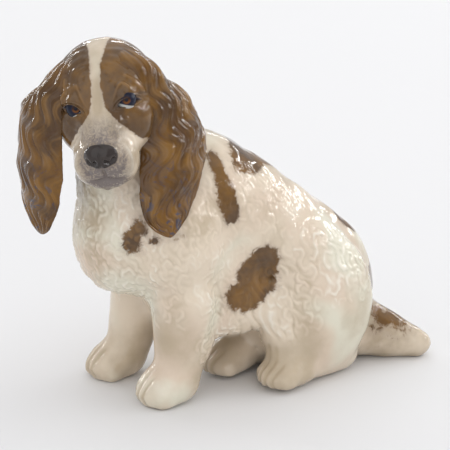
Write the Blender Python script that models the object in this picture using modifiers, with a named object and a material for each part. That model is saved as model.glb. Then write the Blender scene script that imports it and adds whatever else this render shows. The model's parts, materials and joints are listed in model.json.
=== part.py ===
"""A seated spaniel in slip-cast porcelain, as the castings that are luted together before firing.

Metres, +Z up. The dog faces -Y and its left side is at +X. Each casting is built from lumps of clay,
balls and tapered bones, which a voxel remesh fuses. Where two castings meet, one is cut by the other
grown by the slip in the joint, so every seam keeps the same gap when a size changes.
"""

import math

import bmesh
import bpy
from mathutils import Euler, Matrix, Vector

MM = 0.001

# Driving dimensions
TORSO_LENGTH = 80 * MM  # between the chest's and the rump's centres
CHEST_WIDTH = 68 * MM
CHEST_HEIGHT = 81 * MM  # the chest's centre above the table
RUMP_WIDTH = 64 * MM
RUMP_HEIGHT = 78 * MM  # the rump's own height
NECK_LENGTH = 36 * MM
SKULL_WIDTH = 46 * MM
MUZZLE_LENGTH = 29 * MM
EAR_LENGTH = 73 * MM
EAR_WIDTH = 31 * MM
EAR_THICKNESS = 5.5 * MM
FORELEG_WIDTH = 21 * MM
FOREPAW_LENGTH = 32 * MM
HINDPAW_LENGTH = 30 * MM
HAUNCH_HEIGHT = 68 * MM
TAIL_LENGTH = 33 * MM
WALL = 3.6 * MM  # what the slip leaves on the mould
SLIP = 0.3 * MM  # the joint between two castings
VENT_RADIUS = 4 * MM  # lets the kiln's gases out under the rump
PASSAGE_RADIUS = 8 * MM  # between the torso's hollow and the head's
FOOT_TURN = math.radians(16)
HEAD_YAW = math.radians(63)  # towards the dog's left
EAR_YAW = math.radians(57)  # the ears hang a little behind the turned head
HEAD_PITCH = math.radians(27)  # nose down
HEAD_ROLL = math.radians(-8)  # crown towards the dog's right

TORSO_GRAIN = 5.2 * MM  # voxel sizes of the remesh
HEAD_GRAIN = 3.6 * MM
LIMB_GRAIN = 3.8 * MM
EAR_GRAIN = 2.2 * MM
HOLLOW_GRAIN = 6 * MM
FACETS_KEPT = 0.45

GLAZE = {"white": (0.80, 0.72, 0.60), "brown": (0.24, 0.11, 0.04)}


def clear_scene():
    for obj in list(bpy.data.objects):
        bpy.data.objects.remove(obj)


def collection(name):
    made = bpy.data.collections.new(name)
    bpy.context.scene.collection.children.link(made)
    return made


def glaze(name):
    material = bpy.data.materials.new(name + "_glaze")
    material.use_nodes = True
    shader = material.node_tree.nodes["Principled BSDF"]
    shader.inputs["Base Color"].default_value = (*GLAZE[name], 1)
    shader.inputs["Roughness"].default_value = 0.08
    shader.inputs["Metallic"].default_value = 0
    return material


def ball(centre, radii, turn=(0, 0, 0)):
    """An ellipsoid lump of clay; turn is in degrees about X, Y and Z."""
    return {
        "matrix": Matrix.LocRotScale(
            Vector(centre), Euler([math.radians(a) for a in turn]), Vector(radii)
        ),
        "cone": None,
    }


def bone(start, start_radius, end, end_radius):
    """A tapered rod with round ends."""
    start, end = Vector(start), Vector(end)
    along = end - start
    middle = Matrix.LocRotScale(
        (start + end) / 2, along.to_track_quat("Z", "Y"), Vector((1, 1, 1))
    )
    return [
        ball(start, [start_radius] * 3),
        ball(end, [end_radius] * 3),
        {"matrix": middle, "cone": (start_radius, end_radius, along.length)},
    ]


def in_head(lumps, head):
    return [{**lump, "matrix": head @ lump["matrix"]} for lump in lumps]


def inset(lumps, wall):
    """The same lumps one wall smaller, leaving out the small ones, which the slip fills."""
    smaller = []
    for lump in lumps:
        place, turn, radii = lump["matrix"].decompose()
        if lump["cone"]:
            first, last, length = lump["cone"]
            if min(first, last) > 3 * wall:
                smaller.append({**lump, "cone": (first - wall, last - wall, length)})
        elif min(radii) > 3 * wall:
            radii = Vector([r - wall for r in radii])
            smaller.append({**lump, "matrix": Matrix.LocRotScale(place, turn, radii)})
    return smaller


def fettled(obj, grain, smoothing):
    """One even skin around all the clay, brushed smooth and with half of its facets spared."""
    remesh = obj.modifiers.new("clay", "REMESH")
    remesh.mode = "VOXEL"
    remesh.voxel_size = grain
    brush = obj.modifiers.new("wet_brush", "SMOOTH")
    brush.factor = 0.5
    brush.iterations = smoothing
    spare = obj.modifiers.new("spare_facets", "DECIMATE")
    spare.ratio = FACETS_KEPT
    obj.modifiers.new("flat_facets", "TRIANGULATE")  # so that a cutter folds where its casting does
    return obj


def fused(name, lumps, grain, group, smoothing=8):
    """One closed body from overlapping lumps, with their creases filled as by a wet brush."""
    shape = bmesh.new()
    for lump in lumps:
        if lump["cone"]:
            first, last, length = lump["cone"]
            bmesh.ops.create_cone(
                shape,
                cap_ends=True,
                segments=24,
                radius1=first,
                radius2=last,
                depth=length,
                matrix=lump["matrix"],
            )
        else:
            bmesh.ops.create_uvsphere(
                shape, u_segments=24, v_segments=14, radius=1, matrix=lump["matrix"]
            )
    mesh = bpy.data.meshes.new(name)
    shape.to_mesh(mesh)
    shape.free()
    obj = bpy.data.objects.new(name, mesh)
    group.objects.link(obj)
    return fettled(obj, grain, smoothing)


def as_cutter(obj):
    obj.hide_render = True
    obj.display_type = "WIRE"
    return obj


def rod(name, start, end, radius, group):
    """A round cutter between two points."""
    start, end = Vector(start), Vector(end)
    shape = bmesh.new()
    bmesh.ops.create_cone(
        shape,
        cap_ends=True,
        segments=20,
        radius1=radius,
        radius2=radius,
        depth=(end - start).length,
        matrix=Matrix.Translation((start + end) / 2)
        @ (end - start).to_track_quat("Z", "Y").to_matrix().to_4x4(),
    )
    mesh = bpy.data.meshes.new(name)
    shape.to_mesh(mesh)
    shape.free()
    obj = bpy.data.objects.new(name, mesh)
    group.objects.link(obj)
    return as_cutter(obj)


def cut(obj, *cutters):
    for cutter in cutters:
        boolean = obj.modifiers.new("less_" + cutter.name, "BOOLEAN")
        boolean.operation = "DIFFERENCE"
        boolean.solver = "EXACT"
        boolean.object = cutter


def settled(obj):
    """The object with its modifiers applied, so that others can be cut by what it has become."""
    graph = bpy.context.evaluated_depsgraph_get()
    mesh = bpy.data.meshes.new_from_object(obj.evaluated_get(graph))
    obj.modifiers.clear()
    obj.data = mesh
    return obj


def grown(obj, by, group):
    """A cutter that is obj, swollen along its normals by the joint's slip."""
    swollen = bpy.data.objects.new("grown_" + obj.name, obj.data.copy())
    group.objects.link(swollen)
    swell = swollen.modifiers.new("swell", "DISPLACE")
    swell.mid_level = 0
    swell.strength = by
    return as_cutter(swollen)


class Pose:
    """Where the skeleton puts each casting."""

    chest = Vector((0, -32 * MM, CHEST_HEIGHT))
    rump = chest + Vector((0, TORSO_LENGTH, RUMP_HEIGHT / 2 - 2 * MM - CHEST_HEIGHT))
    poll = chest + Vector((3 * MM, -12 * MM, 10 * MM + NECK_LENGTH))  # the neck's top
    skull = poll + Vector((6.6 * MM, -9.2 * MM, 18 * MM))
    head = Matrix.Translation(skull) @ (
        Matrix.Rotation(HEAD_YAW, 4, "Z")
        @ Matrix.Rotation(HEAD_PITCH, 4, "X")
        @ Matrix.Rotation(HEAD_ROLL, 4, "Y")
    )


def torso_lumps():
    chest, rump, poll = Pose.chest, Pose.rump, Pose.poll
    half = CHEST_WIDTH / 2
    withers = chest.lerp(rump, 0.32) + Vector((0, 0, 17 * MM))
    ribs = chest.lerp(rump, 0.56) + Vector((0, 0, 16 * MM))
    loin = chest.lerp(rump, 0.78) + Vector((0, 0, 19 * MM))
    belly = chest.lerp(rump, 0.42) + Vector((0, 0, -20 * MM))
    return [
        ball(chest, (half, 29 * MM, 36 * MM)),
        ball(withers, (half - 3 * MM, 34 * MM, 32 * MM), (-30, 0, 0)),
        ball(ribs, (half - 2 * MM, 36 * MM, 31 * MM), (-38, 0, 0)),
        ball(loin, (half - 5 * MM, 28 * MM, 25 * MM), (-30, 0, 0)),
        ball(belly, (half - 3 * MM, 33 * MM, 25 * MM)),
        ball(rump, (RUMP_WIDTH / 2, 35 * MM, RUMP_HEIGHT / 2)),
        *bone(chest + Vector((0, -1 * MM, 8 * MM)), 29 * MM, poll, 22 * MM),
    ]


def head_lumps():
    half = SKULL_WIDTH / 2
    nose = -16 * MM - MUZZLE_LENGTH
    lumps = [
        ball((0, 0, 0), (half, 24 * MM, 21 * MM)),
        ball((0, -13 * MM, 3 * MM), (half - 4 * MM, 12 * MM, 14 * MM)),
        *bone((0, -12 * MM, -7 * MM), 15 * MM, (0, nose + 10 * MM, -10 * MM), 11 * MM),
        ball((0, nose + 3 * MM, -5 * MM), (7 * MM, 4.5 * MM, 5 * MM)),
        ball((0, nose + 14 * MM, -19 * MM), (8 * MM, 10 * MM, 5 * MM)),
    ]
    for side in (-1, 1):
        cheek = (side * (half - 9 * MM), -10 * MM, -9 * MM)
        flew = (side * 7 * MM, nose + 13 * MM, -13 * MM)
        lumps += [
            ball(cheek, (9 * MM, 13 * MM, 13 * MM)),
            ball(flew, (7.5 * MM, 11 * MM, 9 * MM), (0, 0, side * 8)),
        ]
    return in_head(lumps, Pose.head)


def foreleg_lumps(side):
    """side is 1 on the dog's left. The right paw is set a little further forward."""
    chest = Pose.chest
    step = 0 if side > 0 else -8 * MM
    radius = FORELEG_WIDTH / 2
    shoulder = chest + Vector((side * (CHEST_WIDTH / 2 - 8 * MM), 9 * MM, -8 * MM))
    elbow = chest + Vector((side * (CHEST_WIDTH / 2 - 13 * MM), 11 * MM, -34 * MM))
    wrist = Vector((side * 19 * MM, chest.y + 9 * MM + step, 15 * MM))
    paw = wrist + Vector((side * 1 * MM, -FOREPAW_LENGTH / 2 + 11 * MM, -8 * MM))
    return [
        ball(shoulder, (12 * MM, 19 * MM, 24 * MM), (12, 0, 0)),
        *bone(elbow, radius + 5 * MM, wrist, radius + 1 * MM),
        ball(paw, (radius + 2 * MM, FOREPAW_LENGTH / 2, 11 * MM)),
    ]


def hind_leg_lumps(side):
    """Both feet point a little to the dog's left, and the right one is tucked under the belly."""
    rump = Pose.rump
    step = 0 if side > 0 else -14 * MM
    haunch = rump + Vector((side * (RUMP_WIDTH / 2 - 8 * MM), -3 * MM, -3 * MM))
    heel = Vector((side * 16 * MM + 3 * MM, rump.y + 10 * MM, 9 * MM))
    along = Vector((math.sin(FOOT_TURN), -math.cos(FOOT_TURN), 0))
    paw = heel + along * (33 * MM - step) - Vector((0, 0, 1 * MM))
    return [
        ball(haunch, (15 * MM, 27 * MM, HAUNCH_HEIGHT / 2), (-8, 0, 0)),
        *bone(heel, 9 * MM, paw, 8.5 * MM),
        ball(paw, (11.5 * MM, HINDPAW_LENGTH / 2, 9 * MM), (0, 0, math.degrees(FOOT_TURN))),
    ]


def tail_lumps():
    root = Pose.rump + Vector((5 * MM, 26 * MM, 0))
    root.z = 13 * MM
    tip = root + Vector((16 * MM, TAIL_LENGTH - 7 * MM, 0))
    tip.z = 6 * MM
    return [*bone(root, 14 * MM, tip, 8 * MM)]


def ear(name, side, group):
    """A leaf that hangs from the side of the skull: a grid bent to its outline, then thickened."""
    across, down = 8, 16
    shape = bmesh.new()
    bmesh.ops.create_grid(shape, x_segments=across, y_segments=down, size=0.5)
    root = Pose.head @ Vector((side * (SKULL_WIDTH / 2 - 3 * MM), 2 * MM, 12 * MM))
    left = Vector((math.cos(EAR_YAW), math.sin(EAR_YAW), 0)) * side
    back = Vector((-math.sin(EAR_YAW), math.cos(EAR_YAW), 0))
    turn = math.radians(45)  # how far the leaf faces forwards
    spread = left * math.cos(turn) + back * math.sin(turn)
    outwards = left * math.sin(turn) - back * math.cos(turn)
    drift = (9.5 if side > 0 else -1) * MM  # the turned head lets the left ear swing back
    rest = (9 if side > 0 else 0) * MM  # and its tip lies on the shoulder
    widest = 0.62  # of the way down
    for vert in shape.verts:
        u, v = vert.co.x * 2, 0.5 - vert.co.y  # u is -1 at the front edge, v is 0 at the root
        if v < widest:
            width = EAR_WIDTH * (0.5 + 0.5 * math.sin(math.pi / 2 * v / widest))
            width *= math.sqrt(min(1, 0.3 + 5 * v))
        else:
            width = EAR_WIDTH * math.sqrt(max(0.04, 1 - ((v - widest) / (1.01 - widest)) ** 2))
        swing = 11 * MM * math.sin(math.pi / 2 * min(1, v / 0.35)) - 6 * MM + rest * v
        belly = 5 * MM * (1 - u * u) * math.sin(math.pi * v)
        middle = (drift + 4 * MM) * math.sin(math.pi / 2 * min(1, v / 0.6)) - 2 * MM
        vert.co = (
            root
            + outwards * (swing + belly)
            + spread * (u * width / 2 + middle)
            - Vector((0, 0, EAR_LENGTH * v))
        )
    bmesh.ops.recalc_face_normals(shape, faces=shape.faces)
    mesh = bpy.data.meshes.new(name)
    shape.to_mesh(mesh)
    shape.free()
    obj = bpy.data.objects.new(name, mesh)
    group.objects.link(obj)
    leaf = obj.modifiers.new("leaf", "SOLIDIFY")
    leaf.thickness = EAR_THICKNESS
    leaf.offset = 0
    return fettled(obj, EAR_GRAIN, 4)


def table(height, group):
    """A cutter that holds everything below a height."""
    reach = 2 * (TORSO_LENGTH + CHEST_HEIGHT)
    shape = bmesh.new()
    bmesh.ops.create_cube(shape, size=reach)
    bmesh.ops.translate(shape, verts=shape.verts, vec=(0, 0, height - reach / 2))
    mesh = bpy.data.meshes.new("table")
    shape.to_mesh(mesh)
    shape.free()
    obj = bpy.data.objects.new("table", mesh)
    group.objects.link(obj)
    return as_cutter(obj)


def hollow(name, lumps, group):
    """The space that the slip left in a mould. It keeps a full wall above the table too."""
    space = fused(name + "_hollow", inset(lumps, WALL), HOLLOW_GRAIN, group)
    cut(space, table(WALL, group))
    return as_cutter(settled(space))


def lute(castings, ground, group):
    """Cut each casting where it meets those before it, so that a film of slip fits between.

    The cutters are taken before the castings are cut, because a skin with no edges swells evenly.
    """
    swollen = []
    for casting in castings:
        own = grown(settled(casting), SLIP, group)
        cut(casting, ground, *swollen)
        settled(casting)
        swollen.append(own)


def stand_at_origin(castings):
    """Move every casting so that the origin is under the middle of their common box."""
    corners = [vert.co for obj in castings for vert in obj.data.vertices]
    low = Vector([min(co[i] for co in corners) for i in range(3)])
    high = Vector([max(co[i] for co in corners) for i in range(3)])
    shift = Matrix.Translation((-(low.x + high.x) / 2, -(low.y + high.y) / 2, -low.z))
    for obj in castings:
        obj.data.transform(shift)


def main():
    clear_scene()
    castings = collection("seated_spaniel")
    cutters = collection("cutters")

    head = fused("head", head_lumps(), HEAD_GRAIN, castings)
    torso = fused("torso", torso_lumps(), TORSO_GRAIN, castings)
    order = [head, torso]
    for side, word in ((1, "left"), (-1, "right")):
        order.append(fused(word + "_hind_leg", hind_leg_lumps(side), LIMB_GRAIN, castings))
        order.append(fused(word + "_foreleg", foreleg_lumps(side), LIMB_GRAIN, castings))
    order.append(fused("tail", tail_lumps(), LIMB_GRAIN, castings))
    for side, word in ((1, "left"), (-1, "right")):
        order.append(ear(word + "_ear", side, castings))
    lute(order, table(0, cutters), cutters)

    rump, poll = Pose.rump, Pose.poll
    vent = rod("vent", (0, rump.y, -1 * MM), (0, rump.y, rump.z), VENT_RADIUS, cutters)
    passage = rod("passage", poll - Vector((0, 0, 8 * MM)), Pose.skull, PASSAGE_RADIUS, cutters)
    cut(torso, hollow("torso", torso_lumps(), cutters), vent)
    cut(head, hollow("head", head_lumps(), cutters), passage)

    for obj in order:
        colour = "brown" if obj.name.endswith("_ear") else "white"
        obj.data.materials.clear()
        obj.data.materials.append(glaze(colour))
        settled(obj)
        obj.data.shade_smooth()
        obj.data.set_sharp_from_angle(angle=math.radians(50))
    stand_at_origin(order)


main()
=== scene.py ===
import json
import math
import random
from itertools import product

import bpy
import numpy as np
from mathutils import Euler, Matrix, Vector
from mathutils.bvhtree import BVHTree
from mathutils.kdtree import KDTree

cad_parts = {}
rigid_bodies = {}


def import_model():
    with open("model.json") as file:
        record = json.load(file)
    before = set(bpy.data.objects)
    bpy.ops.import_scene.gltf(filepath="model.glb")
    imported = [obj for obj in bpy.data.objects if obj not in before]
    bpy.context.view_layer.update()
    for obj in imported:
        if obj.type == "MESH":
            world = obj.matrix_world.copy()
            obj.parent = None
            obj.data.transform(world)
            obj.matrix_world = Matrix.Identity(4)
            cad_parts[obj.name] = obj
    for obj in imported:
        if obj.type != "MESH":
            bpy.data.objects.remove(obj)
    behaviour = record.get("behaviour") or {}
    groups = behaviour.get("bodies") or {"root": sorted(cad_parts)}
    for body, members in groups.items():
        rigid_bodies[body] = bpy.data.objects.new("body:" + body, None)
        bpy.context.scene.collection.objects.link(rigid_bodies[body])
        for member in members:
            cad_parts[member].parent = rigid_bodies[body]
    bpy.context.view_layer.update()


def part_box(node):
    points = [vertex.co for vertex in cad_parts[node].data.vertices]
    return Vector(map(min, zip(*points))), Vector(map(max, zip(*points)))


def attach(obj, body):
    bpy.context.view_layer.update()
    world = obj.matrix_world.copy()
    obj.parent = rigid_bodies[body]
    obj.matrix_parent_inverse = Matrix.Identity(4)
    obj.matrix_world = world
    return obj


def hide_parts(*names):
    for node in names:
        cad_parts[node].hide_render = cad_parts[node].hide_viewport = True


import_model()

mm = 0.001


# helpers for working in object and edit mode

def setMode(word):
    bpy.ops.object.mode_set(mode=word)


def nothingSelected():
    if bpy.context.object and bpy.context.object.mode != "OBJECT":
        setMode("OBJECT")
    bpy.ops.object.select_all(action="DESELECT")


def pick(*objects):
    nothingSelected()
    for obj in objects:
        obj.select_set(True)
    bpy.context.view_layer.objects.active = objects[0]


def share(node, across, along, up):  # a point at a share of a CAD piece's box, in mm
    low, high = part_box(node)
    shares = enumerate((across, along, up))
    return Vector([(low[i] + (high[i] - low[i]) * part) / mm for i, part in shares])


def smooth(low, high, x):
    t = np.clip((x - low) / (high - low), 0, 1)
    return t * t * (3 - 2 * t)


def bell(x, width):
    return np.exp(-((x / width) ** 2))


def ripple(points, size, seed=0):  # smooth lumpy noise from -1 to 1, for points in mm
    q = points / size + seed * 7.31
    cell = np.floor(q)
    part = q - cell
    part = part * part * (3 - 2 * part)
    total = np.zeros(len(points))
    for corner in product((0, 1), repeat=3):
        hashed = np.sin((cell + corner) @ np.array((127.1, 311.7, 74.7))) * 43758.5453
        weight = np.prod(np.where(corner, part, 1 - part), axis=1)
        total += (hashed - np.floor(hashed)) * weight
    return total * 2 - 1


# camera, light and table

view = {
    "azimuth": 64,
    "elevation": 18,
    "distance": 950,
    "aim": (15, -10, 78),
    "lens": 170.8,
}
studio = {
    "sky": ((0.0, 0.36), (0.42, 0.46), (0.56, 0.62), (0.8, 0.68), (1.0, 0.6)),  # height, strength
    "lamps": [  # name, place in mm, size in mm, watts
        ("overhead", (-300, 500, 1700), (3000, 2400), 12),
        ("frontFill", (900, -760, 600), (2400, 2400), 12),
        ("rearTube", (250, 1760, 910), (3400, 20), 12),
        ("lowTube", (220, 2380, 600), (3750, 16), 10),
        ("farTube", (-2250, 200, 830), (3750, 16), 10),
        ("sideTube", (-1950, -1120, 500), (20, 1750), 7),
    ],
    "tableSize": 6000,
    "tableColour": (0.74, 0.74, 0.745, 1),
    "tableShade": 0.985,
    "tableGrain": 9,
}


def setCamera():
    a, e = math.radians(view["azimuth"]), math.radians(view["elevation"])
    back = Vector((math.sin(a) * math.cos(e), -math.cos(a) * math.cos(e), math.sin(e)))
    aim = Vector(view["aim"]) * mm
    bpy.ops.object.camera_add(location=aim + back * view["distance"] * mm)
    camera = bpy.context.object
    camera.name = "studioCamera"
    camera.rotation_euler = back.to_track_quat("Z", "Y").to_euler()
    camera.data.lens = view["lens"]
    bpy.context.scene.camera = camera


def setStudio():
    for name, place, size, watts in studio["lamps"]:
        bpy.ops.object.light_add(type="AREA", location=Vector(place) * mm)
        lamp = bpy.context.object
        lamp.name = name
        lamp.data.shape = "RECTANGLE"
        lamp.data.size, lamp.data.size_y = size[0] * mm, size[1] * mm
        lamp.data.energy = watts
        aim = Vector(view["aim"]) * mm
        lamp.rotation_euler = (lamp.location - aim).to_track_quat("Z", "Y").to_euler()
    world = bpy.data.worlds.new("lightTent")
    bpy.context.scene.world = world
    world.use_nodes = True
    tree = world.node_tree
    split = tree.nodes.new("ShaderNodeSeparateXYZ")
    tree.links.new(tree.nodes.new("ShaderNodeTexCoord").outputs["Generated"], split.inputs[0])
    height = tree.nodes.new("ShaderNodeMapRange")
    height.inputs["From Min"].default_value = -1
    tree.links.new(split.outputs["Z"], height.inputs["Value"])
    sky = tree.nodes.new("ShaderNodeValToRGB")
    while len(sky.color_ramp.elements) < len(studio["sky"]):
        sky.color_ramp.elements.new(0.5)
    for stop, (place, level) in zip(sky.color_ramp.elements, studio["sky"]):
        stop.position = place
        stop.color = (level, level, level * 1.02, 1)
    tree.links.new(height.outputs["Result"], sky.inputs["Fac"])
    tree.links.new(sky.outputs["Color"], tree.nodes["Background"].inputs["Color"])
    bpy.context.scene.view_settings.view_transform = "Standard"

    nothingSelected()
    bpy.ops.mesh.primitive_plane_add(size=studio["tableSize"] * mm)
    table = bpy.context.object
    table.name = "table"
    paint = bpy.data.materials.new("paleCard")
    paint.use_nodes = True
    tree = paint.node_tree
    shader = tree.nodes["Principled BSDF"]
    shader.inputs["Roughness"].default_value = 0.7
    grain = tree.nodes.new("ShaderNodeTexNoise")
    grain.inputs["Scale"].default_value = studio["tableGrain"]
    ramp = tree.nodes.new("ShaderNodeValToRGB")
    shade = studio["tableShade"]
    ramp.color_ramp.elements[0].color = [c * shade for c in studio["tableColour"][:3]] + [1]
    ramp.color_ramp.elements[1].color = studio["tableColour"]
    tree.links.new(grain.outputs["Fac"], ramp.inputs["Fac"])
    tree.links.new(ramp.outputs["Color"], shader.inputs["Base Color"])
    table.data.materials.append(paint)


setCamera()
setStudio()
print("camera, lamps and table are set")


# blockout: balls and bones of clay, all in mm in the frame

chest = share("torso", 0.5, 0.22, 0.561)
rump = share("torso", 0.5, 0.769, 0.256)
poll = share("torso", 0.547, 0.137, 0.88)
skull = share("head", 0.402, 0.507, 0.636)
turns = {"yaw": 63, "pitch": 27, "roll": -8}  # how the head is held, in degrees
headPlace = Matrix.Translation(skull) @ (
    Matrix.Rotation(math.radians(turns["yaw"]), 4, "Z")
    @ Matrix.Rotation(math.radians(turns["pitch"]), 4, "X")
    @ Matrix.Rotation(math.radians(turns["roll"]), 4, "Y")
)
identity = Matrix.Identity(4)


def ball(place, radii, turn=(0, 0, 0), inside=identity):
    bpy.ops.mesh.primitive_uv_sphere_add(segments=28, ring_count=18, radius=1)
    lump = bpy.context.object
    lump.matrix_world = Matrix.Scale(mm, 4) @ inside @ Matrix.LocRotScale(
        Vector(place), Euler([math.radians(a) for a in turn]), Vector(radii)
    )
    return [lump]


def bone(start, startRadius, end, endRadius, inside=identity):
    start, end = Vector(start), Vector(end)
    lumps = ball(start, [startRadius] * 3, inside=inside)
    lumps += ball(end, [endRadius] * 3, inside=inside)
    bpy.ops.mesh.primitive_cone_add(
        vertices=28, radius1=startRadius, radius2=endRadius, depth=(end - start).length
    )
    rod = bpy.context.object
    turn = (end - start).to_track_quat("Z", "Y")
    middle = Matrix.LocRotScale((start + end) / 2, turn, None)
    rod.matrix_world = Matrix.Scale(mm, 4) @ inside @ middle
    return lumps + [rod]


def torsoClay():
    up = Vector((0, 0, 1))
    along = lambda share: chest.lerp(rump, share)
    clay = ball(chest, (33, 29, 36))
    clay += ball(along(0.30) + up * 18, (30, 36, 33), (-30, 0, 0))
    clay += ball(along(0.54) + up * 18, (31, 38, 31), (-38, 0, 0))
    clay += ball(along(0.74) + up * 19, (29, 31, 27), (-34, 0, 0))
    clay += ball(along(0.42) - up * 17, (30, 33, 24))
    clay += ball(rump, (31, 35, 39))
    clay += bone(chest + Vector((0, -1, 8)), 28, poll, 21)
    clay += ball(chest + Vector((2, -14, -6)), (24, 18, 26))  # the ruff on the breast
    clay += ball(along(0.92) + up * 13, (28, 32, 29), (-34, 0, 0))
    for side in (-1, 1):
        clay += ball(along(0.46) + Vector((side * 19, 0, -22)), (10, 25, 13))  # belly fringe
        clay += ball(rump + Vector((side * 15, -8, 22)), (17, 28, 19), (-30, 0, 0))
        clay += ball(along(0.36) + Vector((side * 17, 0, -6)), (12, 25, 27))  # ribs
        clay += ball(poll + Vector((side * 12, 2, -18)), (12, 15, 20))
    return clay


paws = {
    "step": {1: 0, -1: -8},  # the right forepaw is set forward, the left is side 1
    "reach": {1: 30, -1: 47},  # of a hind paw from its heel
    "turn": 16,
    "toeGaps": (-5.6, 0, 5.6),
    "claws": (-8.2, -2.8, 2.8, 8.2),
    "gapDepth": {"fore": 0.7, "hind": 0.5},
}


def pawPlace(name):  # the middle of a paw, and the way that it points
    side = 1 if "left" in name else -1
    if "fore" in name:
        return Vector((side * 20 - 3, chest.y + 4 + paws["step"][side], 8)), Vector((0, -1, 0))
    turn = math.radians(paws["turn"])
    along = Vector((math.sin(turn), -math.cos(turn), 0))
    return Vector((side * 16, rump.y + 10, 9)) + along * paws["reach"][side], along


def forelegClay(side):
    paw = pawPlace("left_fore" if side > 0 else "right_fore")[0]
    wrist = paw + Vector((-side, 5, 7))
    clay = ball(chest + Vector((side * 25, 7, -6)), (12, 20, 25), (12, 0, 0))
    clay += bone(chest + Vector((side * 21, 10, -34)), 15, wrist, 11)
    clay += ball(wrist + Vector((side, 4, 12)), (11, 11, 16))
    clay += ball(paw, (12.5, 14, 10))
    for toe, reach in ((-1.5, 7), (-0.5, 10.5), (0.5, 10.5), (1.5, 7)):
        clay += ball(paw + Vector((toe * 5.8, -reach, -3)), (4.6, 6.5, 6.4))
    return clay


def hindLegClay(side):
    paw, along = pawPlace("left_hind" if side > 0 else "right_hind")
    across = Vector((-along.y, along.x, 0))
    heel = Vector((side * 16, rump.y + 10, 9))
    clay = ball(rump + Vector((side * 24, -3, -3)), (15, 27, 34), (-8, 0, 0))
    clay += ball(rump + Vector((side * 23, -14, -9)), (14, 16, 22), (-20, 0, 0))
    clay += bone(heel, 10, paw, 9)
    turn = (0, 0, paws["turn"])
    clay += ball(paw - Vector((0, 0, 1)), (12, 14, 9), turn)
    for toe, reach in ((-1.5, 9), (-0.5, 12), (0.5, 12), (1.5, 9)):
        place = paw + along * reach + across * toe * 5.4 - Vector((0, 0, 3))
        clay += ball(place, (4.4, 6, 5.4), turn)
    return clay


def tailClay():
    root = Vector((rump.x + 5, rump.y + 26, 14))
    tip = root + Vector((16, 26, -8))
    return bone(root, 15, tip, 7) + bone(root + Vector((-2, -4, 7)), 12, root.lerp(tip, 0.5), 11.5)


def headClay():
    clay = ball((0, 0, 0), (22.5, 24, 21), inside=headPlace)
    clay += ball((0, -12, 2), (18.5, 13, 14.5), inside=headPlace)
    clay += bone((0, -17, -3), 13, (0, -33, -8), 9.5, inside=headPlace)
    clay += ball((0, -20, 2), (11, 12, 9), inside=headPlace)  # fills the stop
    clay += ball((0, -39, -3.4), (7.8, 6, 6.6), inside=headPlace)
    clay += ball((0, -32.5, -19), (9, 10, 6), inside=headPlace)
    for side in (-1, 1):
        clay += ball((side * 13, -11, -7), (8.5, 14, 14), inside=headPlace)  # cheek
        clay += ball((side * 6.6, -30.5, -13), (8, 11.5, 10.5), (0, 0, side * 8), inside=headPlace)
        clay += ball((side * 10, -16, 8), (7, 6.5, 6), inside=headPlace)  # brow
    return clay


grains = {"block": 2.6, "brush": 7, "levels": 2, "faceCuts": 1}


def joinClay(name, lumps):
    pick(*lumps)
    bpy.ops.object.transform_apply(location=True, rotation=True, scale=True)
    bpy.ops.object.join()
    sculpt = bpy.context.object
    sculpt.name = name
    return sculpt


def addModifier(obj, kind, **settings):
    modifier = obj.modifiers.new(kind.lower(), kind)
    for key, value in settings.items():
        setattr(modifier, key, value)
    bpy.ops.object.modifier_apply(modifier=modifier.name)


def blockOut():
    lumps = torsoClay() + headClay() + tailClay()
    for side in (-1, 1):
        lumps += forelegClay(side) + hindLegClay(side)
    sculpt = joinClay("dogSculpt", lumps)
    addModifier(sculpt, "REMESH", mode="VOXEL", voxel_size=grains["block"] * mm)
    addModifier(sculpt, "SMOOTH", factor=0.5, iterations=grains["brush"])
    addModifier(sculpt, "SUBSURF", levels=grains["levels"], render_levels=grains["levels"])
    return sculpt


def read(items, name, width=1, kind=float):
    values = np.empty(len(items) * width, kind)
    items.foreach_get(name, values)
    return values.reshape(-1, width) if width > 1 else values


def readPoints(mesh):
    return read(mesh.vertices, "co", 3) / mm


def writePoints(mesh, points):
    mesh.vertices.foreach_set("co", (points * mm).ravel())
    mesh.update()


def readNormals(mesh):
    return read(mesh.vertices, "normal", 3)


def addLayer(mesh, name, values, kind="FLOAT", domain="POINT"):
    layer = mesh.attributes.new(name, kind, domain)
    layer.data.foreach_set("vector" if kind == "FLOAT_VECTOR" else "value", values)


def editChosen(obj, kind, chosen):  # edit mode, with only these points or faces selected
    pick(obj)
    setMode("EDIT")
    bpy.ops.mesh.select_mode(type=kind)
    bpy.ops.mesh.select_all(action="DESELECT")
    setMode("OBJECT")
    items = obj.data.vertices if kind == "VERT" else obj.data.polygons
    items.foreach_set("select", chosen)
    setMode("EDIT")


headTurn = np.array(headPlace.to_3x3())
faceWay = headTurn @ np.array((0, -1, 1)) / math.sqrt(2)  # straight out of the face


def toHead(points):  # frame mm to the head's own mm: x to the dog's left, -y forwards, z up
    return (points - np.array(skull)) @ headTurn


def faceMap(local):  # how far across the face, how far down it, and how far out of it
    x, y, z = local.T
    return x, -(y + z) / math.sqrt(2), (z - y) / math.sqrt(2)


def refineFace(sculpt):
    across, down, out = faceMap(toHead(readPoints(sculpt.data)))
    near = (np.abs(across) < 18) & (down > -4) & (down < 46) & (out > 6)
    editChosen(sculpt, "VERT", near)
    bpy.ops.mesh.subdivide(number_cuts=grains["faceCuts"], smoothness=1)
    setMode("OBJECT")


nothingSelected()
dog = blockOut()
refineFace(dog)
print("blockout has", len(dog.data.vertices), "points")


# sculpting: every relief is a height along the surface's own direction

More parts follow.
